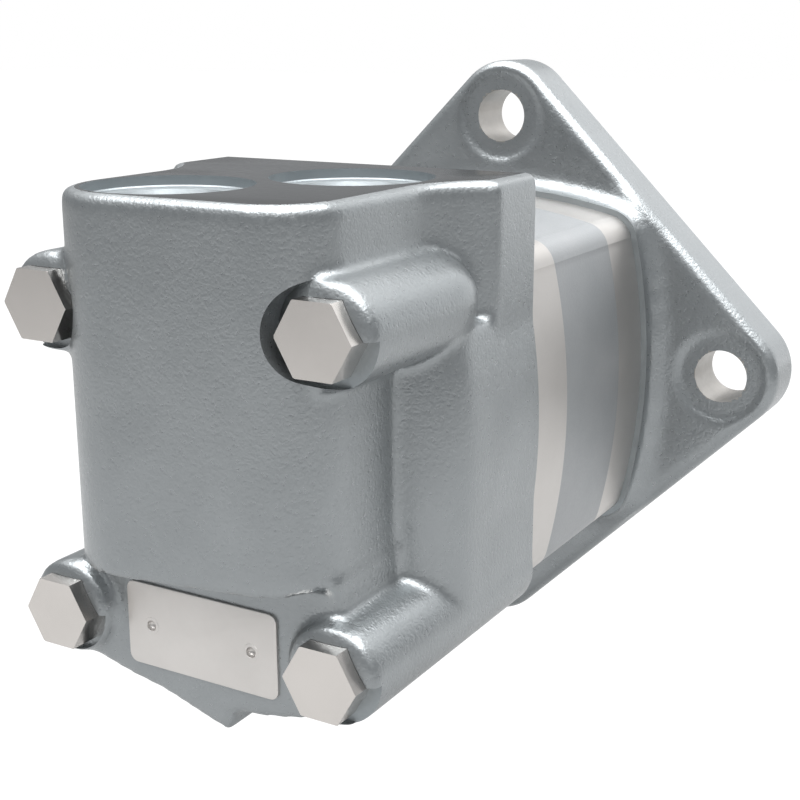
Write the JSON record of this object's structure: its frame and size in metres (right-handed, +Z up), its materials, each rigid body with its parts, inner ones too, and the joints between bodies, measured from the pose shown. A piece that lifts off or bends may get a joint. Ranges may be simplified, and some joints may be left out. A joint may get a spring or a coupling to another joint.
{
  "type": "orbital hydraulic motor",
  "caption": "Flange-mounted orbital hydraulic motor: geroler set between machined plates, disc valve in a cast housing with staggered ports, keyed output shaft.",
  "frame": {"origin": "centre of the mounting face of the flange, on the axis of the output shaft", "axes": "+Y along the output shaft, out of the flange's front; -Y towards the valve housing; +Z up towards the ports; +X to the right as seen from behind"},
  "size_m": [0.1556, 0.2555, 0.1556],
  "materials": {
    "casting": "as-cast, unpainted grey iron",
    "machined": "ground and milled steel",
    "steel": "turned and hardened steel",
    "seal": "moulded nitrile rubber",
    "cage": "pressed cage"
  },
  "bodies": {
    "housing": {"bearing_housing": "casting", "wear_plate": "machined", "geroler_ring": "steel", "valve_plate": "machined", "valve_housing": "casting", "cap_screws": "machined", "name_plate": "machined", "drive_screws": "machined", "section_seals": "seal", "front_bearing_cup": "steel", "rear_bearing_cup": "steel", "shaft_seal": "seal", "seal_washer": "steel", "seal_retainer": "steel", "dust_seal": "seal", "balance_ring": "steel", "balance_outer_seal": "seal", "balance_inner_seal": "seal", "balance_spring": "steel", "balance_pins": "steel"},
    "shaft": {"output_shaft": "steel", "shaft_key": "machined", "front_bearing_cone": "steel", "rear_bearing_cone": "steel", "bearing_spacer": "steel", "bearing_nut": "steel"},
    "front_cage": {"front_bearing_cage": "cage", "front_bearing_rollers": "machined"},
    "rear_cage": {"rear_bearing_cage": "cage", "rear_bearing_rollers": "machined"},
    "orbit_carrier": {"drive_spacer": "machined"},
    "star": {"star": "steel"},
    "main_drive": {"main_drive": "steel"},
    "valve_drive": {"valve_drive": "steel"},
    "rotary_valve": {"rotary_valve": "steel"},
    "roller_1": {"roller_1": "machined"},
    "roller_2": {"roller_2": "machined"},
    "roller_3": {"roller_3": "machined"},
    "roller_4": {"roller_4": "machined"},
    "roller_5": {"roller_5": "machined"},
    "roller_6": {"roller_6": "machined"},
    "roller_7": {"roller_7": "machined"},
    "roller_8": {"roller_8": "machined"},
    "roller_9": {"roller_9": "machined"}
  },
  "joints": [
    {"name": "shaft_spin", "type": "hinge", "parent": "housing", "child": "shaft", "pos_m": [0, 0, 0], "axis": [0, 1, 0], "continuous": true},
    {"name": "front_cage_spin", "type": "hinge", "parent": "housing", "child": "front_cage", "pos_m": [0, 0, 0], "axis": [0, 1, 0], "continuous": true},
    {"name": "rear_cage_spin", "type": "hinge", "parent": "housing", "child": "rear_cage", "pos_m": [0, 0, 0], "axis": [0, 1, 0], "continuous": true},
    {"name": "star_orbit", "type": "hinge", "parent": "housing", "child": "orbit_carrier", "pos_m": [0, 0, 0], "axis": [0, 1, 0], "continuous": true},
    {"name": "star_spin", "type": "hinge", "parent": "orbit_carrier", "child": "star", "pos_m": [0, 0, 0.0029], "axis": [0, 1, 0], "continuous": true},
    {"name": "main_drive_spin", "type": "hinge", "parent": "orbit_carrier", "child": "main_drive", "pos_m": [0, 0.0003, 0], "axis": [0, 0.9981, -0.0615], "continuous": true},
    {"name": "valve_drive_spin", "type": "hinge", "parent": "orbit_carrier", "child": "valve_drive", "pos_m": [0, -0.0927, 0], "axis": [0, 0.9958, 0.0911], "continuous": true},
    {"name": "valve_spin", "type": "hinge", "parent": "housing", "child": "rotary_valve", "pos_m": [0, 0, 0], "axis": [0, 1, 0], "continuous": true},
    {"name": "roller_1_spin", "type": "hinge", "parent": "housing", "child": "roller_1", "pos_m": [0, 0, 0.031], "axis": [0, 1, 0], "continuous": true},
    {"name": "roller_2_spin", "type": "hinge", "parent": "housing", "child": "roller_2", "pos_m": [-0.01993, 0, 0.02375], "axis": [0, 1, 0], "continuous": true},
    {"name": "roller_3_spin", "type": "hinge", "parent": "housing", "child": "roller_3", "pos_m": [-0.03053, 0, 0.00538], "axis": [0, 1, 0], "continuous": true},
    {"name": "roller_4_spin", "type": "hinge", "parent": "housing", "child": "roller_4", "pos_m": [-0.02685, 0, -0.0155], "axis": [0, 1, 0], "continuous": true},
    {"name": "roller_5_spin", "type": "hinge", "parent": "housing", "child": "roller_5", "pos_m": [-0.0106, 0, -0.02913], "axis": [0, 1, 0], "continuous": true},
    {"name": "roller_6_spin", "type": "hinge", "parent": "housing", "child": "roller_6", "pos_m": [0.0106, 0, -0.02913], "axis": [0, 1, 0], "continuous": true},
    {"name": "roller_7_spin", "type": "hinge", "parent": "housing", "child": "roller_7", "pos_m": [0.02685, 0, -0.0155], "axis": [0, 1, 0], "continuous": true},
    {"name": "roller_8_spin", "type": "hinge", "parent": "housing", "child": "roller_8", "pos_m": [0.03053, 0, 0.00538], "axis": [0, 1, 0], "continuous": true},
    {"name": "roller_9_spin", "type": "hinge", "parent": "housing", "child": "roller_9", "pos_m": [0.01993, 0, 0.02375], "axis": [0, 1, 0], "continuous": true}
  ],
  "couplings": [
    {"joint": "front_cage_spin", "follows": "shaft_spin", "ratio": 0.4334},
    {"joint": "rear_cage_spin", "follows": "shaft_spin", "ratio": 0.4334},
    {"joint": "star_orbit", "follows": "shaft_spin", "ratio": -8},
    {"joint": "star_spin", "follows": "shaft_spin", "ratio": 9},
    {"joint": "main_drive_spin", "follows": "shaft_spin", "ratio": 9},
    {"joint": "valve_drive_spin", "follows": "shaft_spin", "ratio": 9},
    {"joint": "valve_spin", "follows": "shaft_spin", "ratio": 1}
  ]
}
